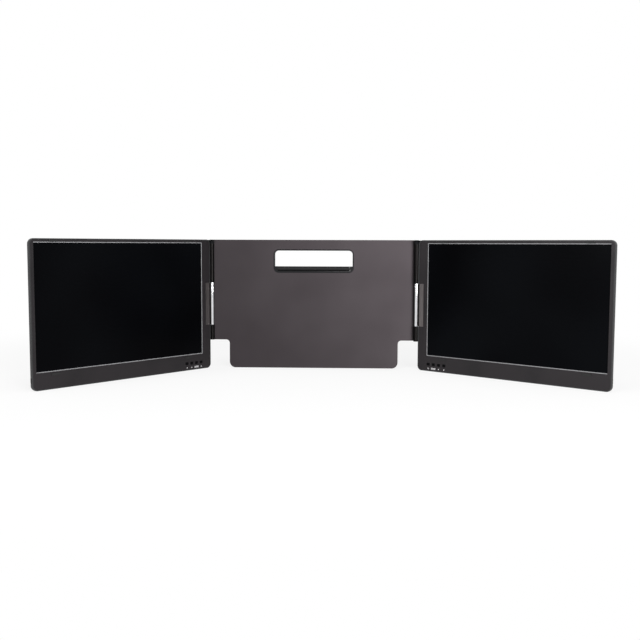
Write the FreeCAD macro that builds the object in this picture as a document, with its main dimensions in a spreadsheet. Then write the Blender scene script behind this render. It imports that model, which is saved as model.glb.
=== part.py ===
import FreeCAD, Part
import os
import re
import Sketcher

# A screen extender for a laptop: a flat centre panel with a carrying slot and a
# kickstand, and two screens that swing on barrel hinges at the panel's sides.
# Millimetres. Z is up, the viewer is at minus Y, and the origin is the middle of
# the centre panel's bottom edge. Each screen is drawn unturned in its own frame,
# whose Z axis is its hinge axis: u runs outward, w runs back from the axis.

SIZES = {
    # Centre panel, a T in front view, with its sheet metal front
    "panel_height": 204.7,
    "panel_thickness": 8.0,
    "plate_thickness": 1.2,
    "tongue_half": 134.7,
    "notch_height": 45.0,
    "tongue_radius": 9.5,
    "notch_radius": 5.5,
    "panel_corner": 1.5,
    # Carrying slot and its moulded liner
    "slot_half": 61.8,
    "slot_drop": 17.0,
    "slot_height": 33.3,
    "slot_radius": 6.0,
    "liner_rim": 1.3,
    "liner_wall": 4.2,
    # Kickstand, a plate rolled round a pin at its top
    "pivot_lift": 4.4,
    "bar_radius": 3.9,
    "bar_half": 57.4,
    "kick_half": 54.0,
    "kick_clear": 5.2,
    "kick_thickness": 2.0,
    "kick_set": 1.6,
    "kick_radius": 8.0,
    "kick_pin_radius": 1.5,
    "kick_pin_wall": 1.2,
    "window_margin": 16.0,
    "window_depth": 0.6,
    "foot_half": 44.0,
    "foot_height": 4.0,
    "scoop_radius": 11.0,
    "scoop_lift": 2.0,
    # Rear shell: screws and the hollows beside the bay
    "screw_inset": 12.0,
    "shell_wall": 2.0,
    "hollow_margin": 14.0,
    # Hinge axes: their half distance, and how far each stands before the panel
    "axis_half": 162.3,
    "axis_left_ahead": 0.6,
    "axis_right_ahead": 9.8,
    "open_left": 51.0,
    "open_right": 39.3,
    # Side spines that carry the hinge pins
    "spine_radius": 3.5,
    "spine_inset": 3.6,
    "rail_outer_left": 1.5,
    "riser_outer": 1.0,
    "riser_inner": 1.4,
    "flange_reach": 9.0,
    "flange_thickness": 1.5,
    "rail_chamfer": 1.8,
    "rail_slope": 1.4,
    # Hinge barrel, pin and leaf
    "barrel_low": 69.3,
    "barrel_length": 67.0,
    "barrel_radius": 3.1,
    "pin_radius": 1.7,
    "pin_grip": 18.0,
    "washer_thickness": 0.5,
    "leaf_reach": 13.4,
    "leaf_proud": 0.1,
    "neck_reach": 5.8,
    "neck_sink": 0.4,
    "backing_reach": 3.0,
    "backing_end": 8.0,
    "backing_thickness": 1.2,
    # Screen casing, as tall as the panel
    "screen_width": 317.0,
    "screen_thickness": 8.0,
    "edge_reach": 3.8,
    "hinge_setback": 0.6,
    "case_corner": 7.5,
    "case_round": 4.5,
    "inner_round": 2.5,
    "case_wall": 1.6,
    "back_wall": 1.5,
    # Bezel and display module
    "inner_bezel": 17.2,
    "outer_bezel": 6.4,
    "top_bezel": 5.7,
    "chin_height": 25.0,
    "bezel_sink": 0.3,
    "bezel_thickness": 1.0,
    "trim_width": 1.1,
    "trim_lip": 0.3,
    "module_border": 2.2,
    "module_depth": 3.0,
    # Buttons below the display, with their flanges and stems
    "button_width": 5.4,
    "button_height": 4.4,
    "button_radius": 1.2,
    "button_first": 20.0,
    "button_pitch": 9.7,
    "button_level": 10.8,
    "button_travel": 0.8,
    "button_proud": 0.4,
    "key_overhang": 0.8,
    "key_flange": 0.7,
    "stem_radius": 1.2,
    "stem_length": 1.4,
    # Boards, switches, chips and ribbon cable
    "switch_body": 4.5,
    "plunger_radius": 0.9,
    "plunger_length": 0.4,
    "board_thickness": 1.0,
    "board_end": 5.0,
    "board_margin": 3.4,
    "board_low": 5.6,
    "driver_reach": 120.0,
    "driver_rise": 30.0,
    "chip_side": 14.0,
    "chip_thickness": 0.7,
    "ribbon_width": 3.5,
    "ribbon_thickness": 0.2,
    # Rubber pads on the bezel
    "pad_length": 13.5,
    "pad_width": 2.6,
    "pad_proud": 0.8,
    "pad_inset": 29.4,
    "pad_drop": 4.7,
    # Screws, socket and clearances
    "screw_radius": 1.1,
    "head_radius": 2.1,
    "head_depth": 1.0,
    "boss_radius": 2.6,
    "case_screw_length": 4.6,
    "port_width": 8.9,
    "port_depth": 3.2,
    "port_length": 7.2,
    "port_level": 14.5,
    "port_wall": 0.35,
    "port_sink": 0.3,
    "port_back": 1.0,
    "contact_thickness": 0.7,
    "contact_margin": 0.5,
    "gap_slide": 0.2,
    "gap_running": 0.04,
    "gap_press": 0.02,
    "gap_seat": 0.1,
    "gap_turn": 0.35,
    "gap_move": 0.5,
}

doc = FreeCAD.newDocument("ScreenExtender")
sheet = doc.addObject("Spreadsheet::Sheet", "Sizes")
for row, (alias, number) in enumerate(SIZES.items(), start=1):
    sheet.set(f"A{row}", alias.replace("_", " "))
    sheet.set(f"B{row}", str(number))
    sheet.setAlias(f"B{row}", alias)
doc.recompute()

bodies = {}


def value(text):
    """The number that an expression of the sheet's names gives now."""
    return float(sheet.evalExpression(str(text)))


def bound(text):
    """The same expression, as a feature outside the sheet has to write it."""
    return re.sub(r"\b([a-z]+_[a-z_]+)\b", r"Sizes.\1", str(text))


def minus(text):
    return f"-({text})"


def plus(*texts):
    return " + ".join(f"({text})" for text in texts)


def span(hand, near, far):
    """Start and length along X of a stretch from near to far, outward on one hand."""
    start = near if hand > 0 else minus(far)
    return start, f"({far}) - ({near})"


def new_body(label):
    body = doc.addObject("PartDesign::Body", label)
    body.Label = label
    bodies[label] = body
    return body


def feature(body, kind):
    return body.newObject(kind, f"{body.Label}_{kind.split('::')[1]}")


def outline(body, plane, loops, level):
    """A sketch of straight-sided loops on a plane of the body, each corner placed by the sheet."""
    sketch = feature(body, "Sketcher::SketchObject")
    role = {item.Role: item for item in body.Origin.OriginFeatures}
    sketch.AttachmentSupport = (role[plane], [""])
    sketch.MapMode = "FlatFace"
    side = minus(level) if plane == "XZ_Plane" else level
    sketch.setExpression("AttachmentOffset.Base.z", bound(side))
    for loop in loops:
        first = sketch.GeometryCount
        count = len(loop)
        corners = [FreeCAD.Vector(value(x), value(y), 0) for x, y in loop]
        for k in range(count):
            sketch.addGeometry(Part.LineSegment(corners[k], corners[(k + 1) % count]), False)
        for k in range(count):
            following = first + (k + 1) % count
            sketch.addConstraint(Sketcher.Constraint("Coincident", first + k, 2, following, 1))
        for k, (x, y) in enumerate(loop):
            across = sketch.addConstraint(
                Sketcher.Constraint("DistanceX", -1, 1, first + k, 1, corners[k].x))
            sketch.setExpression(f"Constraints[{across}]", bound(x))
            along = sketch.addConstraint(
                Sketcher.Constraint("DistanceY", -1, 1, first + k, 1, corners[k].y))
            sketch.setExpression(f"Constraints[{along}]", bound(y))
    return sketch


def rectangle(start, length, low, high):
    end = plus(start, length)
    return [(start, low), (end, low), (end, high), (start, high)]


def pad(body, plane, loops, level, length):
    """A pad from the level: forward (to minus Y) from a front-view sketch, up from a plan."""
    solid = feature(body, "PartDesign::Pad")
    sketch = outline(body, plane, loops, level)
    solid.Profile = (sketch, [""])
    solid.setExpression("Length", bound(length))
    doc.recompute()
    return solid


def pocket(body, plane, loops, level, length):
    """A pocket that runs back (to plus Y) from a front-view sketch at the level."""
    before = body.Shape.Volume
    cut = feature(body, "PartDesign::Pocket")
    sketch = outline(body, plane, loops, level)
    cut.Profile = (sketch, [""])
    cut.setExpression("Length", bound(length))
    doc.recompute()
    if not body.Shape.Volume < before:
        raise ValueError(f"a pocket of {body.Label} cuts nothing")
    return cut


def block(body, x, y, z, sizes, cut=False):
    """A box from its low corner, added to the body or taken out of it."""
    kind = "PartDesign::SubtractiveBox" if cut else "PartDesign::AdditiveBox"
    box = feature(body, kind)
    for name, text in zip(("Length", "Width", "Height"), sizes):
        box.setExpression(name, bound(text))
    for name, text in zip("xyz", (x, y, z)):
        box.setExpression(f"Placement.Base.{name}", bound(text))
    return box


TURNS = {
    "x": FreeCAD.Rotation(FreeCAD.Vector(0, 1, 0), 90),
    "y": FreeCAD.Rotation(FreeCAD.Vector(1, 0, 0), -90),
    "z": FreeCAD.Rotation(),
}


def rod(body, axis, x, y, z, radius, length, cut=False):
    """A cylinder from its start point along an axis, added to the body or taken out."""
    kind = "PartDesign::SubtractiveCylinder" if cut else "PartDesign::AdditiveCylinder"
    bar = feature(body, kind)
    bar.Placement = FreeCAD.Placement(FreeCAD.Vector(), TURNS[axis])
    bar.setExpression("Radius", bound(radius))
    bar.setExpression("Height", bound(length))
    for name, text in zip("xyz", (x, y, z)):
        bar.setExpression(f"Placement.Base.{name}", bound(text))
    return bar


def straight_edges(body, direction, where=lambda point: True):
    """Names of the tip's straight edges along a direction whose middle satisfies a test."""
    names = []
    for number, edge in enumerate(body.Shape.Edges, start=1):
        if not isinstance(edge.Curve, Part.Line):
            continue
        run = edge.Curve.Direction
        if abs(abs(run.dot(direction)) - 1) < 1e-6 and where(edge.CenterOfMass):
            names.append(f"Edge{number}")
    return names


def level_edges(body, height):
    """Names of the tip's edges that lie wholly at one Y."""
    names = []
    for number, edge in enumerate(body.Shape.Edges, start=1):
        box = edge.BoundBox
        if abs(box.YMin - height) < 1e-4 and abs(box.YMax - height) < 1e-4:
            names.append(f"Edge{number}")
    return names


def round_edges(body, names, radius, kind="Fillet"):
    """Fillet or chamfer named edges of the body's tip."""
    if not names:
        raise ValueError(f"no edge of {body.Label} to round")
    tip = body.Tip
    edge = feature(body, f"PartDesign::{kind}")
    edge.Base = (tip, names)
    edge.setExpression("Radius" if kind == "Fillet" else "Size", bound(radius))
    doc.recompute()
    if "Invalid" in edge.State or "Error" in edge.State:
        raise ValueError(f"the rounding {edge.Name} failed on {len(names)} edges")
    return edge


DEPTH = FreeCAD.Vector(0, 1, 0)

# Levels and edges of the centre panel
panel_front = "-panel_thickness / 2"
plate_back = "plate_thickness - panel_thickness / 2"
panel_back = "panel_thickness / 2"
plate_half = "axis_half - spine_inset"
slot_top = "panel_height - slot_drop"
slot_low = "(panel_height - slot_drop - slot_height)"
pivot_height = f"({slot_low} + pivot_lift)"
kick_length = f"({pivot_height} - kick_clear)"
bay_half = "kick_half + gap_move"


def panel_outline():
    """The T: full width above the notches, the tongue between them."""
    return [
        (minus("tongue_half"), "0"), ("tongue_half", "0"),
        ("tongue_half", "notch_height"), (plate_half, "notch_height"),
        (plate_half, "panel_height"), (minus(plate_half), "panel_height"),
        (minus(plate_half), "notch_height"), (minus("tongue_half"), "notch_height"),
    ]


def near(x, z, reach=0.5):
    """A test for edges whose middle is at plus or minus x and at z."""
    wide = value(x)
    tall = value(z)
    return lambda point: abs(abs(point.x) - wide) < reach and abs(point.z - tall) < reach


def at_corners(widths, heights, reach=0.3):
    """A test for edges at the corners of a rectangle on either hand."""
    wide = [value(width) for width in widths]
    tall = [value(height) for height in heights]
    return lambda point: (min(abs(abs(point.x) - x) for x in wide) < reach
                          and min(abs(point.z - z) for z in tall) < reach)


def round_panel(body):
    round_edges(body, straight_edges(body, DEPTH, near("tongue_half", "0")), "tongue_radius")
    round_edges(
        body, straight_edges(body, DEPTH, near("tongue_half", "notch_height")), "notch_radius")
    round_edges(body, straight_edges(body, DEPTH, near(plate_half, "panel_height")), "panel_corner")


def slot_loop(grow):
    """The carrying slot, grown by a margin on every side."""
    wide = plus("slot_half", grow)
    return [
        (minus(wide), f"{slot_low} - ({grow})"), (wide, f"{slot_low} - ({grow})"),
        (wide, plus(slot_top, grow)), (minus(wide), plus(slot_top, grow)),
    ]


def round_slot(body, grow):
    """Round the four corners of a slot that has been grown by a margin."""
    wide = plus("slot_half", grow)
    low = f"{slot_low} - ({grow})"
    corners = straight_edges(body, DEPTH, near(wide, low))
    corners += straight_edges(body, DEPTH, near(wide, plus(slot_top, grow)))
    round_edges(body, corners, plus("slot_radius", grow))


# Screws through the rear shell, three on each side
SHELL_SCREWS = [
    (f"{hand} * ({x})", z) for hand in (-1, 1) for x, z in (
        ("tongue_half - screw_inset", "screw_inset"),
        (f"{plate_half} - flange_reach - screw_inset", "notch_height + screw_inset"),
        (f"{plate_half} - flange_reach - screw_inset", "panel_height - screw_inset"),
    )
]


def front_plate():
    """Anodised sheet, blanked to the T with the slot pierced through it."""
    body = new_body("front_plate")
    pad(body, "XZ_Plane", [panel_outline()], plate_back, "plate_thickness")
    round_panel(body)
    pocket(body, "XZ_Plane", [slot_loop("liner_rim + gap_seat")], panel_front, "plate_thickness")
    round_slot(body, "liner_rim + gap_seat")


def rear_shell():
    """Moulded tray behind the plate: slot, kickstand bay and seats for the spine flanges."""
    body = new_body("rear_shell")
    depth = "panel_thickness - plate_thickness"
    pad(body, "XZ_Plane", [panel_outline()], panel_back, depth)
    round_panel(body)
    pocket(body, "XZ_Plane", [slot_loop("liner_wall + gap_seat")], plate_back, depth)
    round_slot(body, "liner_wall + gap_seat")
    bay_floor = "kick_set - gap_move / 2"
    bay_low = "kick_clear - gap_move"
    block(body, minus(bay_half), bay_floor, bay_low,
          (f"2 * ({bay_half})", "panel_thickness", f"{slot_low} - ({bay_low})"), cut=True)
    doc.recompute()
    corners = straight_edges(body, DEPTH, near(bay_half, bay_low))
    round_edges(body, corners, "kick_radius + gap_move")
    # A finger scoop at the foot of the bay, so that the kickstand can be pulled out
    rod(body, "y", "0", bay_floor, f"{bay_low} + scoop_lift", "scoop_radius", "panel_thickness",
        cut=True)
    for hand in (-1, 1):
        start, length = span(hand, f"({plate_half}) - flange_reach - gap_seat", plate_half)
        block(body, start, plate_back, "notch_height",
              (length, "flange_thickness", "panel_height - notch_height"), cut=True)
        # Hollow beside the bay, closed by the front plate
        start, length = span(hand, "kick_half + hollow_margin",
                             f"{plate_half} - flange_reach - hollow_margin - head_radius")
        block(body, start, plate_back, "notch_height + hollow_margin / 2",
              (length, "panel_thickness - plate_thickness - shell_wall",
               f"{slot_low} - notch_height - hollow_margin * 1.5"), cut=True)
    for x, z in SHELL_SCREWS:
        rod(body, "y", x, plate_back, z, "screw_radius + gap_seat", "panel_thickness", cut=True)
        rod(body, "y", x, "panel_thickness / 2 - head_depth - gap_seat", z,
            "head_radius + gap_seat", "panel_thickness", cut=True)
    doc.recompute()


def slot_liner():
    """Moulded frame round the carrying slot; a cheek in each lower corner holds the pin."""
    body = new_body("slot_liner")
    depth = "panel_thickness - plate_thickness"
    pad(body, "XZ_Plane", [slot_loop("liner_rim")], panel_back, "panel_thickness")
    pad(body, "XZ_Plane", [slot_loop("liner_wall")], panel_back, depth)
    cheek = "bar_half + gap_slide"
    cheek_top = f"{pivot_height} + bar_radius"
    opening = [
        (minus(cheek), slot_low), (cheek, slot_low), (cheek, cheek_top), ("slot_half", cheek_top),
        ("slot_half", slot_top), (minus("slot_half"), slot_top), (minus("slot_half"), cheek_top),
        (minus(cheek), cheek_top),
    ]
    pocket(body, "XZ_Plane", [opening], panel_front, "panel_thickness")
    round_edges(body, straight_edges(body, DEPTH, near("slot_half", slot_top)), "slot_radius")
    for grow in ("liner_rim", "liner_wall"):
        round_slot(body, grow)
    block(body, minus(bay_half), "kick_set - gap_move / 2", f"{slot_low} - liner_wall - gap_move",
          (f"2 * ({bay_half})", "panel_thickness", "liner_wall + 2 * gap_move"), cut=True)
    reach = "slot_half + liner_wall - kick_pin_wall"
    rod(body, "x", minus(reach), "0", pivot_height, "kick_pin_radius + gap_press",
        f"2 * ({reach})", cut=True)
    doc.recompute()


def kickstand():
    """Plate with a rolled top edge on a pin, and a rubber strip let into its foot."""
    plate = new_body("kickstand_plate")
    foot_low = minus(kick_length)
    back = "kick_set + kick_thickness"
    loop = [(minus("kick_half"), foot_low), ("kick_half", foot_low),
            ("kick_half", "0"), (minus("kick_half"), "0")]
    pad(plate, "XZ_Plane", [loop], back, "kick_thickness")
    corners = straight_edges(plate, DEPTH, near("kick_half", foot_low))
    round_edges(plate, corners, "kick_radius")
    rod(plate, "x", minus("bar_half"), "0", "0", "bar_radius", "2 * bar_half")
    rod(plate, "x", minus("bar_half + gap_move"), "0", "0", "kick_pin_radius + gap_running",
        "2 * (bar_half + gap_move)", cut=True)
    block(plate, minus("foot_half"), "kick_set", foot_low,
          ("2 * foot_half", "kick_thickness", "foot_height"), cut=True)
    # A shallow field pressed into the back stiffens the plate
    side = "kick_half - window_margin"
    low = f"foot_height + window_margin - {kick_length}"
    window = [(minus(side), low), (side, low),
              (side, "-bar_radius - window_margin"), (minus(side), "-bar_radius - window_margin")]
    doc.recompute()
    pocket(plate, "XZ_Plane", [window], f"{back} - window_depth", "window_depth")
    foot = new_body("kickstand_foot")
    block(foot, minus("foot_half"), "kick_set", foot_low,
          ("2 * foot_half", "kick_thickness", "foot_height"))
    doc.recompute()
    for body in (plate, foot):
        body.setExpression("Placement.Base.z", bound(pivot_height))
    pin = new_body("kickstand_pin")
    reach = "slot_half + liner_wall - kick_pin_wall - gap_slide"
    rod(pin, "x", minus(reach), "0", pivot_height, "kick_pin_radius", f"2 * ({reach})")
    doc.recompute()


def screw_group(label, places, head_level, length):
    """Screws that enter from the back: a flat head and a plain shank each."""
    body = new_body(label)
    for x, z in places:
        rod(body, "y", x, f"({head_level}) - ({length})", z, "screw_radius", length)
        rod(body, "y", x, f"({head_level}) - head_depth", z, "head_radius", "head_depth")
    doc.recompute()
    return body


def shell_screws():
    screw_group("shell_screws", SHELL_SCREWS, panel_back,
                "panel_thickness - plate_thickness - gap_seat")


def place_on_axis(body, hand, turned=False):
    """Set a body on its hinge axis, and turn it by the screen's rest angle if it rides there."""
    ahead = "axis_right_ahead" if hand > 0 else "axis_left_ahead"
    opened = "open_right" if hand > 0 else "open_left"
    body.setExpression("Placement.Base.x", bound(f"{hand} * axis_half"))
    body.setExpression("Placement.Base.y", bound(f"-panel_thickness / 2 - {ahead}"))
    if turned:
        body.Placement.Rotation = FreeCAD.Rotation(FreeCAD.Vector(0, 0, 1), 1)
        body.setExpression("Placement.Rotation.Angle", bound(f"{-hand} * {opened} * 1 deg"))


def side_spine(hand, side):
    """Extruded rail along the panel's side, with the round spine that holds the hinge pin."""
    body = new_body(f"side_spine_{side}")
    ahead = "axis_right_ahead" if hand > 0 else "axis_left_ahead"
    outer = "riser_outer" if hand > 0 else minus("rail_outer_left")
    back = plus(ahead, "panel_thickness")
    flange_front = plus(ahead, "plate_thickness")
    flange_back = plus(flange_front, "flange_thickness")
    inset = minus("spine_inset")
    stem = minus("riser_inner") if hand > 0 else minus("spine_inset")
    profile = [
        (stem, "0"), (outer, "0"), (outer, f"({back}) - rail_chamfer"),
        (f"({outer}) - rail_slope", back), (inset, back),
        (inset, flange_back), (minus("spine_inset + flange_reach"), flange_back),
        (minus("spine_inset + flange_reach"), flange_front), (inset, flange_front),
    ]
    if hand > 0:
        profile += [(inset, ahead), (stem, ahead)]
    loop = [(f"{hand} * ({u})", w) for u, w in profile]
    tall = "panel_height - notch_height"
    pad(body, "XY_Plane", [loop], "notch_height", tall)
    rod(body, "z", "0", "0", "notch_height", "spine_radius", tall)
    doc.recompute()
    opening_low = "barrel_low - washer_thickness - gap_seat"
    opening = "barrel_length + 2 * washer_thickness + 2 * gap_seat"
    rod(body, "z", "0", "0", opening_low, "spine_radius + gap_turn", opening, cut=True)
    pin_low = "barrel_low - pin_grip"
    rod(body, "z", "0", "0", pin_low, "pin_radius + gap_press",
        "barrel_length + 2 * pin_grip", cut=True)
    doc.recompute()
    place_on_axis(body, hand)


def hinge_pin(hand, side):
    """Steel pin, gripped by the spine above and below the barrel."""
    body = new_body(f"hinge_pin_{side}")
    rod(body, "z", "0", "0", "barrel_low - pin_grip", "pin_radius",
        "barrel_length + 2 * pin_grip")
    doc.recompute()
    place_on_axis(body, hand)


def friction_washers(hand, side):
    """A spring washer at each end of the barrel, which holds the screen where it is put."""
    body = new_body(f"friction_washers_{side}")
    for low in ("barrel_low - washer_thickness - gap_seat / 2",
                "barrel_low + barrel_length + gap_seat / 2"):
        rod(body, "z", "0", "0", low, "spine_radius - gap_slide", "washer_thickness")
    rod(body, "z", "0", "0", "barrel_low - pin_grip", "pin_radius + gap_press",
        "barrel_length + 2 * pin_grip", cut=True)
    doc.recompute()
    place_on_axis(body, hand)


# Levels and edges of a screen in its own frame
case_near = "edge_reach"
case_far = "edge_reach + screen_width"
case_front = "hinge_setback"
case_back = "hinge_setback + screen_thickness"
case_floor = "hinge_setback + screen_thickness - back_wall"
bezel_front = "hinge_setback + bezel_sink"
bezel_back = "hinge_setback + bezel_sink + bezel_thickness"
lip_back = plus(bezel_back, "trim_lip")
module_back = plus(bezel_back, "module_depth")
view_near = "edge_reach + inner_bezel"
view_far = "edge_reach + screen_width - outer_bezel"
view_top = "panel_height - top_bezel"
leaf_front = "hinge_setback - leaf_proud"
board_front = f"({case_floor}) - board_thickness"


def button_place(number):
    return f"edge_reach + button_first + {number} * button_pitch"


# Case screws: one through the driver board, one beside the buttons, two in the inner bezel
CASE_SCREWS = [
    (f"{case_far} - driver_reach / 2", "chin_height / 2"),
    (f"{button_place(5)} + button_pitch / 2", "chin_height / 2"),
    ("edge_reach + inner_bezel / 2", "barrel_low - 2 * screw_inset"),
    ("edge_reach + inner_bezel / 2", "barrel_low + barrel_length + 2 * screw_inset"),
]


def rear_cover(hand, side):
    """Moulded tray with soft rear edges; its rim wraps round the front bezel."""
    body = new_body(f"rear_cover_{side}")
    start, length = span(hand, case_near, case_far)
    pad(body, "XZ_Plane", [rectangle(start, length, "0", "panel_height")], case_back,
        "screen_thickness")
    inner_start, inner_length = span(hand, f"{case_near} + case_wall", f"{case_far} - case_wall")
    pocket(body, "XZ_Plane",
           [rectangle(inner_start, inner_length, "case_wall", "panel_height - case_wall")],
           case_front, "screen_thickness - back_wall")
    inside = straight_edges(body, DEPTH, at_corners(
        (f"{case_near} + case_wall", f"{case_far} - case_wall"),
        ("case_wall", "panel_height - case_wall")))
    round_edges(body, inside, "case_corner - case_wall")
    round_edges(body, level_edges(body, value(case_floor)), "inner_round")
    round_edges(body, straight_edges(body, DEPTH, at_corners(
        (case_near, case_far), ("0", "panel_height"))), "case_corner")
    round_edges(body, level_edges(body, value(case_back)), "case_round")
    # Gap in the rim where the hinge leaf passes
    leaf_start, leaf_length = span(hand, "0", f"{case_near} + case_wall + gap_move")
    block(body, leaf_start, "0", "barrel_low - gap_seat",
          (leaf_length, bezel_back, "barrel_length + 2 * gap_seat"), cut=True)
    # Mouth of the power and video socket in the outer wall, below the display
    port_start, port_run = span(hand, f"{case_far} - case_wall - gap_move",
                                f"{case_far} + gap_move")
    middle = f"({board_front}) - port_depth / 2"
    block(body, port_start, f"({middle}) - port_depth / 2 - gap_seat",
          "port_level - port_width / 2 + port_depth / 2",
          (port_run, "port_depth + 2 * gap_seat", "port_width - port_depth"), cut=True)
    for sign in (-1, 1):
        rod(body, "x", port_start, middle, f"port_level + {sign} * (port_width - port_depth) / 2",
            "port_depth / 2 + gap_seat", port_run, cut=True)
    for u, z in CASE_SCREWS:
        x = f"{hand} * ({u})"
        rod(body, "y", x, f"{case_floor} - gap_move", z, "screw_radius + gap_seat",
            "screen_thickness", cut=True)
        rod(body, "y", x, f"{case_back} - head_depth - gap_seat / 2", z,
            "head_radius + gap_seat", "screen_thickness", cut=True)
    doc.recompute()
    place_on_axis(body, hand, turned=True)


def front_bezel(hand, side):
    """Moulded frame in the rim: display window, button holes, leaf gap and screw bosses."""
    body = new_body(f"front_bezel_{side}")
    margin = "case_wall + gap_seat"
    start, length = span(hand, f"{case_near} + {margin}", f"{case_far} - ({margin})")
    pad(body, "XZ_Plane", [rectangle(start, length, margin, f"panel_height - ({margin})")],
        bezel_back, "bezel_thickness")
    round_edges(body, straight_edges(body, DEPTH), "case_corner - case_wall - gap_seat")
    window, window_length = span(hand, f"{view_near} - trim_width", view_far)
    pocket(body, "XZ_Plane",
           [rectangle(window, window_length, "chin_height - trim_width", f"{view_top} + trim_width")],
           bezel_front, "bezel_thickness")
    holes = []
    for number in range(4):
        middle = button_place(number)
        half = "(button_width / 2 + gap_slide)"
        hole, hole_length = span(hand, f"{middle} - {half}", f"{middle} + {half}")
        tall = "(button_height / 2 + gap_slide)"
        holes.append(rectangle(hole, hole_length, f"button_level - {tall}",
                               f"button_level + {tall}"))
    pocket(body, "XZ_Plane", holes, bezel_front, "bezel_thickness")
    reach = value("button_height")
    level = value("button_level")
    round_edges(body, straight_edges(
        body, DEPTH, lambda point: abs(point.z - level) < reach
        and abs(point.x) < value(button_place(4))), "button_radius + gap_slide")
    leaf_start, leaf_length = span(hand, case_near, "leaf_reach + gap_seat")
    block(body, leaf_start, "0", "barrel_low - gap_seat",
          (leaf_length, plus(bezel_back, "gap_move"), "barrel_length + 2 * gap_seat"), cut=True)
    for u, z in CASE_SCREWS:
        x = f"{hand} * ({u})"
        rod(body, "y", x, bezel_back, z, "boss_radius", f"({case_floor}) - ({bezel_back})")
        rod(body, "y", x, f"{bezel_back} + gap_move", z, "screw_radius + gap_press",
            "screen_thickness", cut=True)
    doc.recompute()
    place_on_axis(body, hand, turned=True)


def display(hand, side):
    """Display module: bright metal frame folded round the glass, and the glass panel."""
    frame = new_body(f"display_frame_{side}")
    grow = "module_border"
    start, length = span(hand, f"{view_near} - {grow}", f"{view_far} + {grow}")
    low = f"chin_height - {grow}"
    high = f"{view_top} + {grow}"
    pad(frame, "XZ_Plane", [rectangle(start, length, low, high)], module_back, "module_depth")
    view, view_length = span(hand, view_near, view_far)
    pocket(frame, "XZ_Plane", [rectangle(view, view_length, "chin_height", view_top)],
           bezel_back, "module_depth")
    inner, inner_length = span(hand, f"{view_near} - {grow} + trim_lip",
                               f"{view_far} + {grow} - trim_lip")
    block(frame, inner, lip_back, f"{low} + trim_lip",
          (inner_length, "module_depth", f"({high}) - ({low}) - 2 * trim_lip"), cut=True)
    glass = new_body(f"display_glass_{side}")
    pane, pane_length = span(hand, f"{view_near} - {grow} + trim_lip + gap_seat",
                             f"{view_far} + {grow} - trim_lip - gap_seat")
    pad(glass, "XZ_Plane",
        [rectangle(pane, pane_length, f"{low} + trim_lip + gap_seat",
                   f"{high} - trim_lip - gap_seat")],
        module_back, "module_depth - trim_lip")
    doc.recompute()
    for body in (frame, glass):
        place_on_axis(body, hand, turned=True)


# Chips on the driver board: distance from the casing's outer side, level, width, height
CHIPS = (
    ("chip_side * 2", "chin_height + chip_side / 2", "chip_side", "chip_side"),
    ("chip_side * 4.3", "chin_height + chip_side / 3", "chip_side * 0.65", "chip_side * 0.65"),
    ("chip_side * 6", "chin_height + chip_side * 0.8", "chip_side * 0.85", "chip_side * 0.55"),
)


def boards(hand, side):
    """Driver board beside the socket, and the small board with a switch for each button."""
    driver = new_body(f"driver_board_{side}")
    start, length = span(hand, f"{case_far} - driver_reach", f"{case_far} - case_wall - board_margin")
    block(driver, start, board_front, "board_low",
          (length, "board_thickness", "chin_height + driver_rise"))
    for inset, low, wide, tall in CHIPS:
        chip, chip_length = span(hand, f"{case_far} - {inset} - {wide}", f"{case_far} - {inset}")
        block(driver, chip, f"{board_front} - chip_thickness", low,
              (chip_length, "chip_thickness", tall))
    u, z = CASE_SCREWS[0]
    rod(driver, "y", f"{hand} * ({u})", f"{board_front} - gap_move", z, "boss_radius + gap_slide",
        "board_thickness + 2 * gap_move", cut=True)
    board = new_body(f"button_board_{side}")
    board_far = f"{button_place(3)} + board_end"
    start, length = span(hand, f"{button_place(0)} - board_end", board_far)
    block(board, start, board_front, "button_level - board_end",
          (length, "board_thickness", "2 * board_end"))
    plunger_front = f"({bezel_back} + stem_length + button_travel + gap_seat)"
    body_front = f"({plunger_front} + plunger_length)"
    for number in range(4):
        middle = button_place(number)
        start, length = span(hand, f"{middle} - switch_body / 2", f"{middle} + switch_body / 2")
        block(board, start, body_front, "button_level - switch_body / 2",
              (length, f"{board_front} - {body_front}", "switch_body"))
        rod(board, "y", f"{hand} * ({middle})", plunger_front, "button_level", "plunger_radius",
            f"{board_front} - {plunger_front}")
    ribbon = new_body(f"ribbon_cable_{side}")
    start, length = span(hand, f"{board_far} + gap_seat", f"{case_far} - driver_reach - gap_seat")
    block(ribbon, start, f"{case_floor} - ribbon_thickness", "button_level - board_end",
          (length, "ribbon_thickness", "ribbon_width"))
    doc.recompute()
    for body in (driver, board, ribbon):
        place_on_axis(body, hand, turned=True)


BUTTONS = ("power", "menu", "up", "down")


def button(hand, side, number, name):
    """Key cap with a flange behind the bezel and a short stem that presses its switch."""
    body = new_body(f"button_{name}_{side}")
    middle = button_place(number)
    start, length = span(hand, f"{middle} - button_width / 2", f"{middle} + button_width / 2")
    loop = rectangle(start, length, "button_level - button_height / 2",
                     "button_level + button_height / 2")
    pad(body, "XZ_Plane", [loop], plus(bezel_back, "gap_slide"),
        "bezel_thickness + button_proud + gap_slide")
    round_edges(body, straight_edges(body, DEPTH), "button_radius")
    front = value(f"{bezel_front} - button_proud")
    round_edges(body, level_edges(body, front), "button_proud * 0.75")
    start, length = span(hand, f"{middle} - button_width / 2 - key_overhang",
                         f"{middle} + button_width / 2 + key_overhang")
    block(body, start, plus(bezel_back, "gap_seat"),
          "button_level - button_height / 2 - key_overhang",
          (length, "key_flange", "button_height + 2 * key_overhang"))
    rod(body, "y", f"{hand} * ({middle})", bezel_back, "button_level", "stem_radius",
        "stem_length")
    doc.recompute()
    place_on_axis(body, hand, turned=True)


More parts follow.
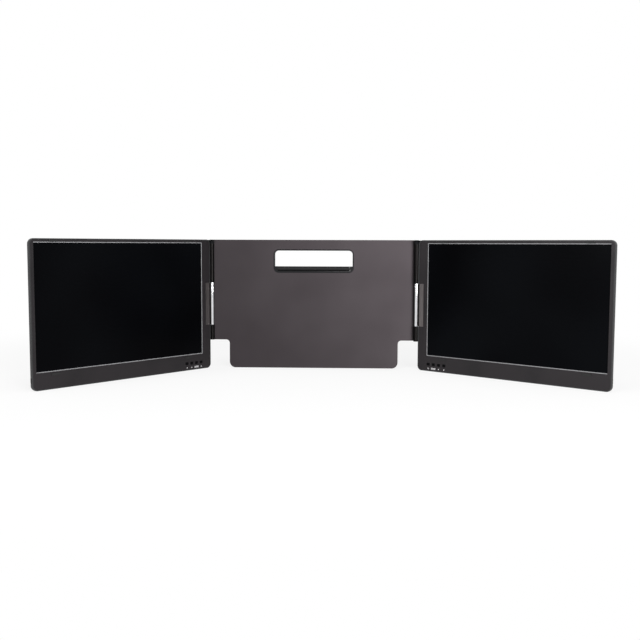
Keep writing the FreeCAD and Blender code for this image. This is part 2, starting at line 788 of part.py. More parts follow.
def rubber_pads(hand, side):
    """Four rubber bumpers that keep the folded screens apart."""
    body = new_body(f"rubber_pads_{side}")
    top_level = f"{view_top} + (panel_height - case_wall - ({view_top})) / 2 + trim_width / 4"
    loops = []
    for middle in (f"{view_near} + pad_inset", f"{view_far} - pad_inset"):
        start, length = span(hand, f"{middle} - pad_length / 2", f"{middle} + pad_length / 2")
        for level in (top_level, "chin_height - pad_drop"):
            loops.append(rectangle(start, length, f"{level} - pad_width / 2",
                                   f"{level} + pad_width / 2"))
    pad(body, "XZ_Plane", loops, bezel_front, "pad_proud + bezel_sink")
    round_edges(body, straight_edges(body, DEPTH), "pad_width * 0.48")
    place_on_axis(body, hand, turned=True)


def hinge_leaf(hand, side):
    """Satin leaf let into the bezel, the dark neck from it to the barrel, and its backing."""
    leaf = new_body(f"hinge_leaf_{side}")
    start, length = span(hand, "neck_reach", "leaf_reach")
    block(leaf, start, leaf_front, "barrel_low",
          (length, f"{bezel_back} - ({leaf_front})", "barrel_length"))
    neck = new_body(f"hinge_neck_{side}")
    start, length = span(hand, "0", "neck_reach")
    block(neck, start, f"{leaf_front} + neck_sink", "barrel_low",
          (length, f"{bezel_back} - ({leaf_front}) - neck_sink", "barrel_length"))
    rod(neck, "z", "0", "0", "barrel_low - gap_move", "barrel_radius",
        "barrel_length + 2 * gap_move", cut=True)
    backing = new_body(f"hinge_backing_{side}")
    start, length = span(hand, f"{case_near} + case_wall + gap_seat", "leaf_reach + backing_reach")
    block(backing, start, bezel_back, "barrel_low - backing_end",
          (length, "backing_thickness", "barrel_length + 2 * backing_end"))
    doc.recompute()
    for body in (leaf, neck, backing):
        place_on_axis(body, hand, turned=True)


def hinge_barrel(hand, side):
    """Polished tube on the pin, which turns with the screen."""
    body = new_body(f"hinge_barrel_{side}")
    rod(body, "z", "0", "0", "barrel_low", "barrel_radius", "barrel_length")
    rod(body, "z", "0", "0", "barrel_low - gap_move", "pin_radius + gap_running",
        "barrel_length + 2 * gap_move", cut=True)
    doc.recompute()
    place_on_axis(body, hand, turned=True)


def socket(hand, side):
    """Socket for power and video: an oval metal shell round a thin contact tongue."""
    body = new_body(f"usb_c_port_{side}")
    middle = f"({board_front}) - port_depth / 2"
    far = f"{case_far} - port_sink"
    flat = "(port_width - port_depth)"
    start, length = span(hand, f"{far} - port_length", far)
    block(body, start, f"({middle}) - port_depth / 2", f"port_level - {flat} / 2",
          (length, "port_depth", flat))
    for sign in (-1, 1):
        rod(body, "x", start, middle, f"port_level + {sign} * {flat} / 2", "port_depth / 2", length)
    start, length = span(hand, f"{far} - port_length + port_back", f"{far} + gap_move")
    block(body, start, f"({middle}) - port_depth / 2 + port_wall", f"port_level - {flat} / 2",
          (length, "port_depth - 2 * port_wall", flat), cut=True)
    for sign in (-1, 1):
        rod(body, "x", start, middle, f"port_level + {sign} * {flat} / 2",
            "port_depth / 2 - port_wall", length, cut=True)
    start, length = span(hand, f"{far} - port_length + contact_margin", f"{far} - port_back")
    block(body, start, f"({middle}) - contact_thickness / 2",
          f"port_level - {flat} / 2 - contact_margin",
          (length, "contact_thickness", f"{flat} + 2 * contact_margin"))
    doc.recompute()
    place_on_axis(body, hand, turned=True)


front_plate()
rear_shell()
slot_liner()
kickstand()
shell_screws()
for hand, side in ((-1, "left"), (1, "right")):
    side_spine(hand, side)
    hinge_pin(hand, side)
    friction_washers(hand, side)
    rear_cover(hand, side)
    front_bezel(hand, side)
    display(hand, side)
    boards(hand, side)
    for number, name in enumerate(BUTTONS):
        button(hand, side, number, name)
    rubber_pads(hand, side)
    hinge_leaf(hand, side)
    hinge_barrel(hand, side)
    socket(hand, side)
    screws = screw_group(
        f"case_screws_{side}", [(f"{hand} * ({u})", z) for u, z in CASE_SCREWS],
        case_back, "case_screw_length")
    place_on_axis(screws, hand, turned=True)

doc.recompute()
for item in doc.Objects:
    if "Invalid" in item.State or "Error" in item.State:
        raise ValueError(f"{item.Name} failed: {item.State}")

os.makedirs("parts", exist_ok=True)
for label, body in bodies.items():
    shape = body.Shape
    if shape.isNull() or not shape.isValid():
        raise ValueError(f"{label} has no valid shape")
    shape.exportStep(f"parts/{label}.step")
    box = shape.BoundBox
    print(f"{label}: {len(shape.Solids)} solids, {shape.Volume:.0f} mm3, "
          f"{box.XLength:.1f} x {box.YLength:.1f} x {box.ZLength:.1f}")
print(len(bodies), "parts")
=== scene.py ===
import math

import bpy
from mathutils import Matrix, Vector


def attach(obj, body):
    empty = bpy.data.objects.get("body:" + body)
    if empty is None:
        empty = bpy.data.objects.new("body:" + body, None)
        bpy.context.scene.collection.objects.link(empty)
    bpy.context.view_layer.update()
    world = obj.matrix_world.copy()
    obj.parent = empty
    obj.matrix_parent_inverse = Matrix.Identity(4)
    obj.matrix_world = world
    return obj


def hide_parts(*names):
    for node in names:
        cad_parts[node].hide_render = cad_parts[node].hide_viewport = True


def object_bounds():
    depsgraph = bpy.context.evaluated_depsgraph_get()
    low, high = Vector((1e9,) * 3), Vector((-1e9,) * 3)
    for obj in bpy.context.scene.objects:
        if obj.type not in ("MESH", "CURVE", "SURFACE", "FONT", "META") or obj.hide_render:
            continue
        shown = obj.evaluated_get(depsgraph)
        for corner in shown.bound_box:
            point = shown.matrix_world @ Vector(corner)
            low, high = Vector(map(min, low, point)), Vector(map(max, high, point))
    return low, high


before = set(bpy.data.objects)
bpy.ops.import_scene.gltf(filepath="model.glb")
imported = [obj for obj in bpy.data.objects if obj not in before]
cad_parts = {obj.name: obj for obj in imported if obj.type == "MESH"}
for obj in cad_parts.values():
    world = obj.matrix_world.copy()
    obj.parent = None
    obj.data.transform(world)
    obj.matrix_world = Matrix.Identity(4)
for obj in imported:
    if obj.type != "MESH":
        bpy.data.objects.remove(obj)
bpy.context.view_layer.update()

# ---------------------------------------------------------------- front plate
# The centre panel's face is aluminium sheet, blanked to a T with the carrying slot
# pierced through it. It is bead blasted, then anodised a warm dark grey: a satin
# metal with a fine even grain and very soft changes of tone.


def linear(colour):
    """An sRGB hex colour as the linear colour that a shader takes."""
    parts = [int(colour[k:k + 2], 16) / 255 for k in (0, 2, 4)]
    return (*[c / 12.92 if c <= 0.04045 else ((c + 0.055) / 1.055) ** 2.4 for c in parts], 1.0)


def add(tree, kind, links=None, **settings):
    """Add a shader node: its settings by name, its sockets linked or given a value."""
    node = tree.nodes.new("ShaderNode" + kind)
    for name, choice in settings.items():
        setattr(node, name, choice)
    for socket, given in (links or {}).items():
        if isinstance(given, bpy.types.NodeSocket):
            tree.links.new(given, node.inputs[socket])
        else:
            node.inputs[socket].default_value = given
    return node


def begin(name, **constants):
    """A new material with the shader's constants set: the tree, the shader, Object coordinates."""
    made = bpy.data.materials.new(name)
    made.use_nodes = True
    tree = made.node_tree
    shader = tree.nodes["Principled BSDF"]
    for socket, number in constants.items():
        shader.inputs[socket.replace("_", " ")].default_value = number
    return made, tree, shader, add(tree, "TexCoord").outputs["Object"]


def per(millimetres):
    """A texture's scale for one feature every so many millimetres."""
    return 1000 / millimetres


def tone(tree, shader, factor, dark, light, low=0.3, high=0.7):
    """Base colour between two hex colours, by a pattern's value."""
    ramp = add(tree, "ValToRGB", {"Fac": factor})
    ramp.color_ramp.elements[0].position = low
    ramp.color_ramp.elements[0].color = linear(dark)
    ramp.color_ramp.elements[1].position = high
    ramp.color_ramp.elements[1].color = linear(light)
    tree.links.new(ramp.outputs["Color"], shader.inputs["Base Color"])


def gloss(tree, shader, factor, smooth, rough):
    """Roughness between two values, by a pattern's value."""
    level = add(tree, "MapRange", {"Value": factor, "To Min": smooth, "To Max": rough})
    tree.links.new(level.outputs["Result"], shader.inputs["Roughness"])


def relief(tree, shader, height, depth, strength=1.0):
    """Bump of a depth in millimetres, by a pattern's value."""
    bump = add(tree, "Bump", {"Height": height, "Distance": depth / 1000, "Strength": strength})
    tree.links.new(bump.outputs["Normal"], shader.inputs["Normal"])


def dress(node, material):
    """Put a material in every slot of a CAD node."""
    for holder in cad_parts[node].material_slots:
        holder.material = material


def finish(piece, material):
    """Shade the gentle edges of the selected new piece smooth and give it its one material."""
    bpy.ops.object.shade_smooth_by_angle(angle=math.radians(35))
    piece.data.materials.clear()
    piece.data.materials.append(material)


anodised, tree, shader, place = begin("blasted_anodised_aluminium", Metallic=1.0)
# Blasting leaves pits of about 0.15 mm; they are drawn 1.2 mm wide so that they show
blast = add(tree, "TexNoise", {"Vector": place, "Scale": per(1.2), "Detail": 4.0})
cloud = add(tree, "TexNoise", {"Vector": place, "Scale": per(90), "Detail": 2.0})
tone(tree, shader, cloud.outputs["Fac"], "332F31", "393537")
gloss(tree, shader, blast.outputs["Fac"], 0.40, 0.52)
relief(tree, shader, blast.outputs["Fac"], 0.02, 0.35)
dress("front_plate", anodised)

# ---------------------------------------------------------------- rear shell
# A moulded ABS tray closes the panel's back and holds the kickstand bay. The mould is
# spark eroded, so the black plastic has a fine pebbled grain and a dull, broken shine.


def moulded(name, dark, light, grain, smooth, rough, depth, shine=0.3):
    """ABS from a spark-eroded mould: pebbled grain of a width in millimetres."""
    made, tree, shader, place = begin(name, Specular_IOR_Level=shine)
    pebbles = add(tree, "TexNoise", {"Vector": place, "Scale": per(grain), "Detail": 5.0,
                                     "Roughness": 0.62})
    flow = add(tree, "TexNoise", {"Vector": place, "Scale": per(70), "Detail": 3.0})
    both = add(tree, "Math", {0: pebbles.outputs["Fac"], 1: flow.outputs["Fac"]},
               operation="ADD")
    tone(tree, shader, both.outputs["Value"], dark, light, 0.8, 1.2)
    gloss(tree, shader, pebbles.outputs["Fac"], smooth, rough)
    relief(tree, shader, pebbles.outputs["Fac"], depth, 0.5)
    return made


shell_abs = moulded("spark_grained_black_abs", "1A1A1B", "262627", 0.9, 0.38, 0.58, 0.05)
dress("rear_shell", shell_abs)

# ---------------------------------------------------------------- carrying slot liner
# A one-piece moulded frame lines the carrying slot. It is satin black nylon with a
# slight flow pattern and a thin lip that overlaps the edge of the sheet all round.
liner_nylon = moulded("satin_black_nylon", "08080A", "101012", 1.6, 0.30, 0.46, 0.012,
                      shine=0.12)
dress("slot_liner", liner_nylon)

PLATE_FRONT = -0.0040
LIP_WIDTH, LIP_PROUD = 0.0020, 0.00018
LIP_HALF, LIP_LOW, LIP_HIGH, LIP_RADIUS = 0.0638, 0.1524, 0.1897, 0.008
bpy.ops.object.select_all(action="DESELECT")
bpy.ops.mesh.primitive_plane_add(size=1, rotation=(math.pi / 2, 0, 0),
                                 location=(0, PLATE_FRONT, (LIP_LOW + LIP_HIGH) / 2))
slot_lip = bpy.context.object
slot_lip.name = "slot_lip"
slot_lip.scale = (2 * LIP_HALF, LIP_HIGH - LIP_LOW, 1)
bpy.ops.object.transform_apply(location=True, rotation=True, scale=True)
bpy.ops.object.mode_set(mode="EDIT")
bpy.ops.mesh.select_all(action="SELECT")
bpy.ops.mesh.bevel(offset=LIP_RADIUS, segments=10, affect="VERTICES")
bpy.ops.mesh.select_all(action="SELECT")
bpy.ops.mesh.inset(thickness=LIP_WIDTH)
bpy.ops.mesh.delete(type="FACE")
bpy.ops.mesh.select_all(action="SELECT")
bpy.ops.mesh.extrude_region_move(TRANSFORM_OT_translate={"value": (0, -LIP_PROUD, 0)})
bpy.ops.mesh.select_all(action="SELECT")
bpy.ops.mesh.normals_make_consistent(inside=False)
bpy.ops.object.mode_set(mode="OBJECT")
finish(slot_lip, liner_nylon)
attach(slot_lip, "centre_panel")

# A low sill of the same moulding closes the gap in front of the kickstand's roll
SILL_SIZE, SILL_MIDDLE, SILL_ROUND = (0.1156, 0.0007, 0.0014), (0, -0.00375, 0.1548), 0.0002
bpy.ops.object.select_all(action="DESELECT")
bpy.ops.mesh.primitive_cube_add(size=1, location=SILL_MIDDLE)
slot_sill = bpy.context.object
slot_sill.name = "slot_sill"
slot_sill.scale = SILL_SIZE
bpy.ops.object.transform_apply(location=True, scale=True)
soften = slot_sill.modifiers.new("soften", "BEVEL")
soften.width, soften.segments = SILL_ROUND, 2
bpy.ops.object.modifier_apply(modifier=soften.name)
finish(slot_sill, liner_nylon)
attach(slot_sill, "centre_panel")

# ---------------------------------------------------------------- kickstand
# Folded steel sheet rolled round a pin at its top, with a black powder coat that has
# the usual orange peel of 1 to 2 mm, and a strip of soft rubber in its foot.
powder, tree, shader, place = begin("black_powder_coat", Specular_IOR_Level=0.16)
peel = add(tree, "TexNoise", {"Vector": place, "Scale": per(1.5), "Detail": 2.0})
cloud = add(tree, "TexNoise", {"Vector": place, "Scale": per(45)})
tone(tree, shader, cloud.outputs["Fac"], "0B0B0C", "121213")
gloss(tree, shader, peel.outputs["Fac"], 0.38, 0.55)
relief(tree, shader, peel.outputs["Fac"], 0.05, 0.4)
dress("kickstand_plate", powder)

rubber, tree, shader, place = begin("black_silicone_rubber", Specular_IOR_Level=0.35)
dust = add(tree, "TexNoise", {"Vector": place, "Scale": per(2.2), "Detail": 6.0})
tone(tree, shader, dust.outputs["Fac"], "101010", "1B1B1B")
gloss(tree, shader, dust.outputs["Fac"], 0.68, 0.85)
relief(tree, shader, dust.outputs["Fac"], 0.03, 0.4)
dress("kickstand_foot", rubber)

turned, tree, shader, place = begin("turned_steel", Metallic=1.0)
rings = add(tree, "TexWave", {"Vector": place, "Scale": per(3.0), "Distortion": 0.6},
            bands_direction="X")
tone(tree, shader, rings.outputs["Fac"], "9A9896", "BDBBB8")
gloss(tree, shader, rings.outputs["Fac"], 0.22, 0.34)
dress("kickstand_pin", turned)

# ---------------------------------------------------------------- screws
# Pan-head machine screws of 2.2 mm with a cross recess, blackened: dark steel that
# shines through a little on the edges of the recess. One is modelled, the rest copied.
HEAD_RADIUS, HEAD_DEPTH, HEAD_ROUND = 0.0021, 0.0010, 0.00018
SHANK_RADIUS = 0.0011
RECESS_SIZE = (0.0026, 0.0012, 0.00055)
FIRST_TURN, NEXT_TURN = 0.7, 1.9


def select_where(test, kind="FACE"):
    """In edit mode, select only the faces, edges or points whose middle passes a test."""
    bpy.ops.mesh.select_mode(type=kind)
    bpy.ops.mesh.select_all(action="DESELECT")
    bpy.ops.object.mode_set(mode="OBJECT")
    mesh = bpy.context.object.data
    for part in (mesh.polygons if kind == "FACE" else mesh.vertices):
        middle = part.center if kind == "FACE" else part.co
        part.select = test(middle, part.normal)
    bpy.ops.object.mode_set(mode="EDIT")


def screw(length):
    """A screw along Y whose head's top is at the origin and whose tip is at minus length."""
    bpy.ops.object.select_all(action="DESELECT")
    bpy.ops.mesh.primitive_cylinder_add(vertices=32, radius=HEAD_RADIUS, depth=HEAD_DEPTH,
                                        location=(0, -HEAD_DEPTH / 2, 0),
                                        rotation=(-math.pi / 2, 0, 0))
    bpy.ops.object.transform_apply(location=True, rotation=True)
    head = bpy.context.object
    bpy.ops.object.mode_set(mode="EDIT")
    select_where(lambda middle, normal: normal.y < -0.9)
    bpy.ops.mesh.inset(thickness=HEAD_RADIUS - SHANK_RADIUS)
    bpy.ops.mesh.extrude_region_move(
        TRANSFORM_OT_translate={"value": (0, HEAD_DEPTH - length, 0)})
    bpy.ops.object.mode_set(mode="OBJECT")
    bpy.ops.mesh.primitive_cube_add(size=1, location=(0, 0, 0))
    recess = bpy.context.object
    recess.scale = RECESS_SIZE
    bpy.ops.object.transform_apply(location=False, rotation=False, scale=True)
    bpy.ops.object.mode_set(mode="EDIT")
    bpy.ops.mesh.duplicate()
    bpy.ops.transform.rotate(value=math.pi / 2, orient_axis="Y", center_override=(0, 0, 0))
    bpy.ops.object.mode_set(mode="OBJECT")
    bpy.ops.object.select_all(action="DESELECT")
    head.select_set(True)
    bpy.context.view_layer.objects.active = head
    cut = head.modifiers.new("recess", "BOOLEAN")
    cut.operation, cut.object, cut.use_self = "DIFFERENCE", recess, True
    bpy.ops.object.modifier_apply(modifier=cut.name)
    soften = head.modifiers.new("soften", "BEVEL")
    soften.width, soften.segments, soften.limit_method = HEAD_ROUND, 2, "ANGLE"
    bpy.ops.object.modifier_apply(modifier=soften.name)
    bpy.data.objects.remove(recess)
    return head


def screw_set(name, node, length, matrix, places, body):
    """Copies of one screw at their places (x, y, z), joined, standing for a CAD node."""
    first = screw(length)
    copies = [first]
    for _ in places[1:]:
        copy = first.copy()
        copy.data = first.data.copy()
        bpy.context.collection.objects.link(copy)
        copies.append(copy)
    bpy.ops.object.select_all(action="DESELECT")
    for number, (copy, spot) in enumerate(zip(copies, places)):
        twist = Matrix.Rotation(FIRST_TURN + NEXT_TURN * number, 4, "Y")
        copy.data.transform(matrix @ Matrix.Translation(Vector(spot)) @ twist)
        copy.select_set(True)
    bpy.context.view_layer.objects.active = first
    bpy.ops.object.join()
    first.name = name
    finish(first, blackened)
    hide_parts(node)
    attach(first, body)


blackened, tree, shader, place = begin("blackened_screw_steel", Metallic=1.0)
oxide = add(tree, "TexNoise", {"Vector": place, "Scale": per(0.8), "Detail": 3.0})
tone(tree, shader, oxide.outputs["Fac"], "39383A", "57565A")
gloss(tree, shader, oxide.outputs["Fac"], 0.28, 0.48)

SHELL_BACK, SHELL_SCREW_LENGTH = 0.0040, 0.0067
SHELL_SCREWS = ((0.1227, 0.012), (0.1377, 0.057), (0.1377, 0.1927))
screw_set("rear_shell_screws", "shell_screws", SHELL_SCREW_LENGTH, Matrix.Identity(4),
          [(hand * x, SHELL_BACK, z) for hand in (-1, 1) for x, z in SHELL_SCREWS],
          "centre_panel")

# ---------------------------------------------------------------- side spines and pins
# Extruded aluminium rails along the panel's sides; each ends in a round spine that
# grips a steel hinge pin. Hard anodised black with a faint draw line along the length.
AXIS_HALF = 0.1623
HAND = {"left": -1, "right": 1}
AXIS_Y = {"left": -0.0046, "right": -0.0138}
drawn, tree, shader, place = begin("drawn_black_anodised", Metallic=1.0)
along = add(tree, "Mapping", {"Vector": place, "Scale": (1.0, 1.0, 0.02)})
lines = add(tree, "TexNoise", {"Vector": along.outputs["Vector"], "Scale": per(0.5),
                               "Detail": 2.0})
tone(tree, shader, lines.outputs["Fac"], "100F0F", "1B1A1A")
gloss(tree, shader, lines.outputs["Fac"], 0.28, 0.45)
relief(tree, shader, lines.outputs["Fac"], 0.01, 0.3)

# The friction washers between barrel and spine are spring steel, blued by the temper
spring, tree, shader, place = begin("blued_spring_steel", Metallic=1.0)
wear = add(tree, "TexNoise", {"Vector": place, "Scale": per(1.0), "Detail": 3.0})
tone(tree, shader, wear.outputs["Fac"], "2A2B30", "3C3D42")
gloss(tree, shader, wear.outputs["Fac"], 0.3, 0.5)
for side in ("left", "right"):
    dress(f"side_spine_{side}", drawn)
    dress(f"hinge_pin_{side}", turned)
    dress(f"friction_washers_{side}", spring)

# A moulded nylon cap closes the top of each spine. It flares round the axis to follow the
# rounded corner of the casing, and is cut flat where the panel's edge begins.
CAP_LOW, CAP_HIGH, CAP_STEPS = 0.1972, 0.2042, 8
CAP_CORNER, CAP_RADIUS, CAP_FLAT = 0.0075, 0.00345, 0.0035


def cap_radius(step):
    """The cap's radius at a step of its height: the casing's corner, mirrored."""
    rise = step * (CAP_HIGH - CAP_LOW) / CAP_STEPS
    return CAP_RADIUS + CAP_CORNER - math.sqrt(CAP_CORNER ** 2 - rise ** 2)


for side in ("left", "right"):
    hand = HAND[side]
    bpy.ops.object.select_all(action="DESELECT")
    bpy.ops.mesh.primitive_circle_add(vertices=64, radius=CAP_RADIUS, fill_type="NGON",
                                      location=(0, 0, CAP_LOW))
    cap = bpy.context.object
    cap.name = f"spine_cap_{side}"
    bpy.ops.object.transform_apply(location=True)
    bpy.ops.object.mode_set(mode="EDIT")
    bpy.ops.mesh.select_all(action="SELECT")
    for step in range(CAP_STEPS):
        bpy.ops.mesh.extrude_region_move(
            TRANSFORM_OT_translate={"value": (0, 0, (CAP_HIGH - CAP_LOW) / CAP_STEPS)})
        wider = cap_radius(step + 1) / cap_radius(step)
        bpy.ops.transform.resize(value=(wider, wider, 1), center_override=(0, 0, 0))
    bpy.ops.mesh.select_all(action="SELECT")
    bpy.ops.mesh.normals_make_consistent(inside=False)
    bpy.ops.mesh.bisect(plane_co=(-hand * CAP_FLAT, 0, 0), plane_no=(-hand, 0, 0),
                        clear_outer=True, use_fill=True)
    bpy.ops.object.mode_set(mode="OBJECT")
    cap.data.transform(Matrix.Translation((hand * AXIS_HALF, AXIS_Y[side], 0)))
    finish(cap, liner_nylon)
    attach(cap, "centre_panel")

# ---------------------------------------------------------------- screen casings
# Each screen is a moulded ABS tray with soft rear edges and a bezel set into its rim.
# Both have the fine dull grain of the tool; the bezel's is finer and a touch lighter.
CASE_BACK, CASE_SCREW_LENGTH = 0.0086, 0.0046
CASE_SCREWS = ((0.2608, 0.0125), (0.07715, 0.0125), (0.0124, 0.0453), (0.0124, 0.1603))
OPENED = {"left": math.radians(51.0), "right": math.radians(39.3)}


def on_screen(side):
    """From a screen's own frame (across, back, up from its hinge axis) to the row frame."""
    hand = HAND[side]
    return (Matrix.Translation((hand * AXIS_HALF, AXIS_Y[side], 0))
            @ Matrix.Rotation(-hand * OPENED[side], 4, "Z"))


case_abs = moulded("grained_charcoal_abs", "1A1A1B", "262627", 0.8, 0.36, 0.54, 0.05)
bezel_abs = moulded("fine_grained_bezel_abs", "171517", "1E1B1D", 0.6, 0.38, 0.52, 0.02,
                    shine=0.2)
for side in ("left", "right"):
    dress(f"rear_cover_{side}", case_abs)
    dress(f"front_bezel_{side}", bezel_abs)
    hand = HAND[side]
    screw_set(f"screen_screws_{side}", f"case_screws_{side}", CASE_SCREW_LENGTH,
              on_screen(side), [(hand * u, CASE_BACK, z) for u, z in CASE_SCREWS],
              f"screen_{side}")

# ---------------------------------------------------------------- displays
# An LCD module: its thin steel frame, lacquered silver, shows as a trim round the black
# panel. The panel's polariser is a hard coated film, nearly black with a soft dim sheen.
trim, tree, shader, place = begin("silver_lacquered_steel", Specular_IOR_Level=0.1)
rolled = add(tree, "TexNoise", {"Vector": place, "Scale": per(4.0), "Detail": 3.0})
tone(tree, shader, rolled.outputs["Fac"], "7A7A7C", "8C8C8E")
gloss(tree, shader, rolled.outputs["Fac"], 0.40, 0.52)

film, tree, shader, place = begin("hard_coated_polariser", Specular_IOR_Level=0.015)
haze = add(tree, "TexNoise", {"Vector": place, "Scale": per(160), "Detail": 1.0})
tone(tree, shader, haze.outputs["Fac"], "030304", "07080A")
sparkle = add(tree, "TexNoise", {"Vector": place, "Scale": per(0.8)})
gloss(tree, shader, sparkle.outputs["Fac"], 0.14, 0.22)
for side in ("left", "right"):
    dress(f"display_frame_{side}", trim)
    dress(f"display_glass_{side}", film)

# ---------------------------------------------------------------- boards and cable
# Behind the bezel: glass fibre boards under green solder mask with copper tracks that
# show through it, and a flat amber polyimide cable between them.
mask, tree, shader, place = begin("green_solder_mask", Roughness=0.35, Coat_Weight=0.4,
                                Coat_Roughness=0.15)
tracks = add(tree, "TexBrick", {"Vector": place, "Scale": per(20), "Mortar Size": 0.03,
                                "Color1": linear("0E3A22"), "Color2": linear("114528"),
                                "Mortar": linear("2F6B3A")})
tree.links.new(tracks.outputs["Color"], shader.inputs["Base Color"])
amber, tree, shader, place = begin("amber_polyimide_film", Coat_Weight=0.5, Coat_Roughness=0.1)
wires = add(tree, "TexWave", {"Vector": place, "Scale": per(2.4)}, bands_direction="Z")
tone(tree, shader, wires.outputs["Fac"], "8A4B12", "C07A2A")
gloss(tree, shader, wires.outputs["Fac"], 0.25, 0.35)
for side in ("left", "right"):
    dress(f"driver_board_{side}", mask)
    dress(f"button_board_{side}", mask)
    dress(f"ribbon_cable_{side}", amber)
    dress(f"usb_c_port_{side}", turned)

# ---------------------------------------------------------------- hinge barrels and leaves
# The barrel is a brass tube, polished and chrome plated to a mirror. The leaf beside it
# is stainless sheet with a brushed satin face.
chrome, tree, shader, place = begin("polished_chrome_plate", Metallic=1.0)
plating = add(tree, "TexNoise", {"Vector": place, "Scale": per(6), "Detail": 2.0})
tone(tree, shader, plating.outputs["Fac"], "D2D2D4", "E0E0E2")
gloss(tree, shader, plating.outputs["Fac"], 0.02, 0.05)

satin, tree, shader, place = begin("brushed_stainless_leaf", Metallic=1.0)
strokes = add(tree, "Mapping", {"Vector": place, "Scale": (1.0, 1.0, 0.03)})
brushing = add(tree, "TexNoise", {"Vector": strokes.outputs["Vector"], "Scale": per(0.4),
                                  "Detail": 2.0})
tone(tree, shader, brushing.outputs["Fac"], "6A6565", "7C7676")
gloss(tree, shader, brushing.outputs["Fac"], 0.30, 0.45)
relief(tree, shader, brushing.outputs["Fac"], 0.008, 0.3)
for side in ("left", "right"):
    dress(f"hinge_barrel_{side}", chrome)
    dress(f"hinge_leaf_{side}", satin)
    dress(f"hinge_neck_{side}", drawn)
    dress(f"hinge_backing_{side}", satin)

# ---------------------------------------------------------------- buttons
# Four satin black ABS keys under each display, smoother than the bezel round them.
# Each has a generic mark below it, pad printed in pale grey ink on the bezel.
key_abs = moulded("satin_key_abs", "030304", "060607", 1.2, 0.30, 0.42, 0.01, shine=0.04)
BUTTONS = ("power", "menu", "up", "down")
BUTTON_FIRST = 0.0238
BUTTON_PITCH = 0.0097
MARK_LEVEL, MARK_RADIUS, MARK_LINE = 0.0043, 0.00125, 0.0004
MENU_WIDTH, MENU_LINE, MENU_PITCH = 0.0084, 0.0006, 0.00095
ARROW_RADIUS = 0.0014
INK_FRONT = 0.00086
INK_BACK = 0.00095

ink, tree, shader, place = begin("pale_grey_pad_print")
cover = add(tree, "TexNoise", {"Vector": place, "Scale": per(0.5), "Detail": 2.0})
tone(tree, shader, cover.outputs["Fac"], "A9A7A9", "C4C2C4")
gloss(tree, shader, cover.outputs["Fac"], 0.45, 0.6)


def flat_disc(corners, radius, middle, turn=0.0):
    """A flat polygon in the front plane of a screen, standing on Y."""
    bpy.ops.object.select_all(action="DESELECT")
    bpy.ops.mesh.primitive_circle_add(vertices=corners, radius=radius, fill_type="NGON",
                                      location=(middle[0], INK_BACK, middle[1]),
                                      rotation=(math.pi / 2, turn, 0))
    bpy.ops.object.transform_apply(location=True, rotation=True)
    return bpy.context.object


def bar(width, height, middle):
    """A flat bar in the front plane of a screen."""
    bpy.ops.object.select_all(action="DESELECT")
    bpy.ops.mesh.primitive_plane_add(size=1, location=(middle[0], INK_BACK, middle[1]),
                                     rotation=(math.pi / 2, 0, 0))
    flat = bpy.context.object
    flat.scale = (width, height, 1)
    bpy.ops.object.transform_apply(location=True, rotation=True, scale=True)
    return flat


def mark_shapes(name, across):
    """The flat shapes of a button's mark, centred below the button."""
    if name == "power":
        ring = flat_disc(28, MARK_RADIUS, (across, MARK_LEVEL - 0.0001))
        bpy.ops.object.mode_set(mode="EDIT")
        bpy.ops.mesh.select_all(action="SELECT")
        bpy.ops.mesh.inset(thickness=MARK_LINE)
        bpy.ops.mesh.delete(type="FACE")
        select_where(lambda middle, normal: abs(middle.x - across) < 0.0005
                     and middle.z > MARK_LEVEL)
        bpy.ops.mesh.delete(type="FACE")
        bpy.ops.object.mode_set(mode="OBJECT")
        return [ring, bar(MARK_LINE, 0.0013, (across, MARK_LEVEL + 0.0008))]
    if name == "menu":
        return [bar(MENU_WIDTH, MENU_LINE, (across, MARK_LEVEL + step * MENU_PITCH))
                for step in (-1, 0, 1)]
    turn = 0.0 if name == "up" else math.pi
    return [flat_disc(3, ARROW_RADIUS, (across, MARK_LEVEL), turn)]


for side in ("left", "right"):
    hand = HAND[side]
    marks = []
    for number, name in enumerate(BUTTONS):
        dress(f"button_{name}_{side}", key_abs)
        marks += mark_shapes(name, hand * (BUTTON_FIRST + number * BUTTON_PITCH))
    bpy.ops.object.select_all(action="DESELECT")
    for shape in marks:
        shape.select_set(True)
    bpy.context.view_layer.objects.active = marks[0]
    bpy.ops.object.join()
    print_layer = bpy.context.object
    print_layer.name = f"button_marks_{side}"
    bpy.ops.object.mode_set(mode="EDIT")
    bpy.ops.mesh.select_all(action="SELECT")
    bpy.ops.mesh.extrude_region_move(
        TRANSFORM_OT_translate={"value": (0, INK_FRONT - INK_BACK, 0)})
    bpy.ops.mesh.select_all(action="SELECT")
    bpy.ops.mesh.normals_make_consistent(inside=False)
    bpy.ops.object.mode_set(mode="OBJECT")
    print_layer.data.transform(on_screen(side))
    print_layer.data.materials.clear()
    print_layer.data.materials.append(ink)
    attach(print_layer, f"screen_{side}")

# ---------------------------------------------------------------- rubber pads
# Eight moulded silicone bumpers stuck in pockets of the bezels keep the folded
# screens apart: matt black, and slightly dusty.
for side in ("left", "right"):
    dress(f"rubber_pads_{side}", rubber)

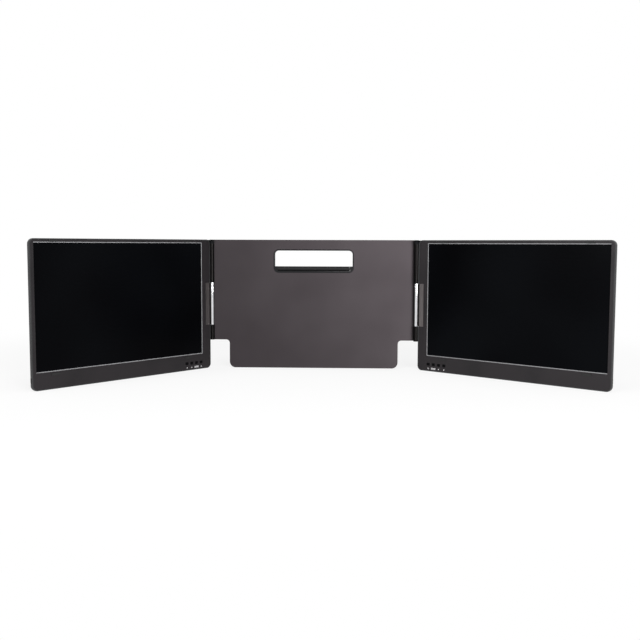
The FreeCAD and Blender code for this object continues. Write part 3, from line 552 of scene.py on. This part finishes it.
# ---------------------------------------------------------------- floor, light and camera
# The studio: a plain pale floor that only keeps the object's shadow, a white surround,
# and three soft boxes: above, at the left and to the front right.
FLOOR_SIZE, FLOOR_BELOW = 6, 0.0002
low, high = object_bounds()
bpy.ops.object.select_all(action="DESELECT")
bpy.ops.mesh.primitive_plane_add(size=FLOOR_SIZE, location=(0, 0, low.z - FLOOR_BELOW))
floor = bpy.context.object
floor.name = "studio_floor"
sweep = bpy.data.materials.new("white_floor")
sweep.use_nodes = True
tree = sweep.node_tree
shader = tree.nodes["Principled BSDF"]
tree.nodes.remove(shader)
place = add(tree, "TexCoord").outputs["Object"]
paint = add(tree, "BsdfDiffuse", {"Color": (0.92, 0.92, 0.92, 1)})
blank = add(tree, "Emission", {"Color": (1, 1, 1, 1), "Strength": 1.0})
distance = add(tree, "VectorMath", {0: place}, operation="LENGTH")
fade = add(tree, "MapRange", {"Value": distance.outputs["Value"], "From Min": 0.35,
                              "From Max": 0.9, "To Min": 0.78, "To Max": 1.0},
           interpolation_type="SMOOTHSTEP")
path = add(tree, "LightPath")
seen = add(tree, "Math", {0: path.outputs["Is Camera Ray"], 1: path.outputs["Is Glossy Ray"]},
           operation="MAXIMUM")
amount = add(tree, "Math", {0: seen.outputs["Value"], 1: fade.outputs["Result"]},
             operation="MULTIPLY")
blend = add(tree, "MixShader", {0: amount.outputs["Value"], 1: paint.outputs["BSDF"],
                                2: blank.outputs["Emission"]})
tree.links.new(blend.outputs["Shader"], tree.nodes["Material Output"].inputs["Surface"])
floor.data.materials.append(sweep)

world = bpy.data.worlds.new("white_studio")
bpy.context.scene.world = world
world.use_nodes = True
tree = world.node_tree
path = add(tree, "LightPath")
direct = add(tree, "Math", {0: path.outputs["Is Camera Ray"], 1: path.outputs["Is Glossy Ray"]},
             operation="MAXIMUM")
clear = add(tree, "Math", {0: direct.outputs["Value"], 1: path.outputs["Is Transmission Ray"]},
            operation="MAXIMUM")
level = add(tree, "MapRange", {"Value": clear.outputs["Value"], "To Min": 0.35, "To Max": 1.0})
surround = tree.nodes["Background"]
surround.inputs["Color"].default_value = (1, 1, 1, 1)
tree.links.new(level.outputs["Result"], surround.inputs["Strength"])


def softbox(name, size, power, spot, target):
    """A square area lamp that faces a target."""
    lamp = bpy.data.lights.new(name, "AREA")
    lamp.shape, lamp.size, lamp.energy = "SQUARE", size, power
    holder = bpy.data.objects.new(name, lamp)
    bpy.context.collection.objects.link(holder)
    holder.location = spot
    holder.rotation_euler = (Vector(target) - Vector(spot)).to_track_quat("-Z", "Y").to_euler()


softbox("overhead_box", 1.6, 14, (0.1, -0.3, 1.8), (0, 0, 0))
softbox("left_key", 1.0, 19, (-1.5, -1.6, 0.7), (0, 0, 0.1))
softbox("front_box", 0.8, 46, (0.82, -1.95, 0.4), (0.05, 0, 0.1))

CAMERA_SPOT = (0.0598, -1.392, 0.1975)
CAMERA_PAN, CAMERA_TILT, CAMERA_ROLL = 2.040, 90 - 4.947, 0.182
camera_data = bpy.data.cameras.new("camera")
camera_data.sensor_width = 36.0
camera_data.lens = 49.07
camera_data.clip_start, camera_data.clip_end = 0.05, 20
camera = bpy.data.objects.new("camera", camera_data)
bpy.context.collection.objects.link(camera)
camera.matrix_world = (Matrix.Translation(CAMERA_SPOT)
                       @ Matrix.Rotation(math.radians(CAMERA_PAN), 4, "Z")
                       @ Matrix.Rotation(math.radians(CAMERA_TILT), 4, "X")
                       @ Matrix.Rotation(math.radians(CAMERA_ROLL), 4, "Z"))
bpy.context.scene.camera = camera
bpy.context.scene.view_settings.view_transform = "Standard"
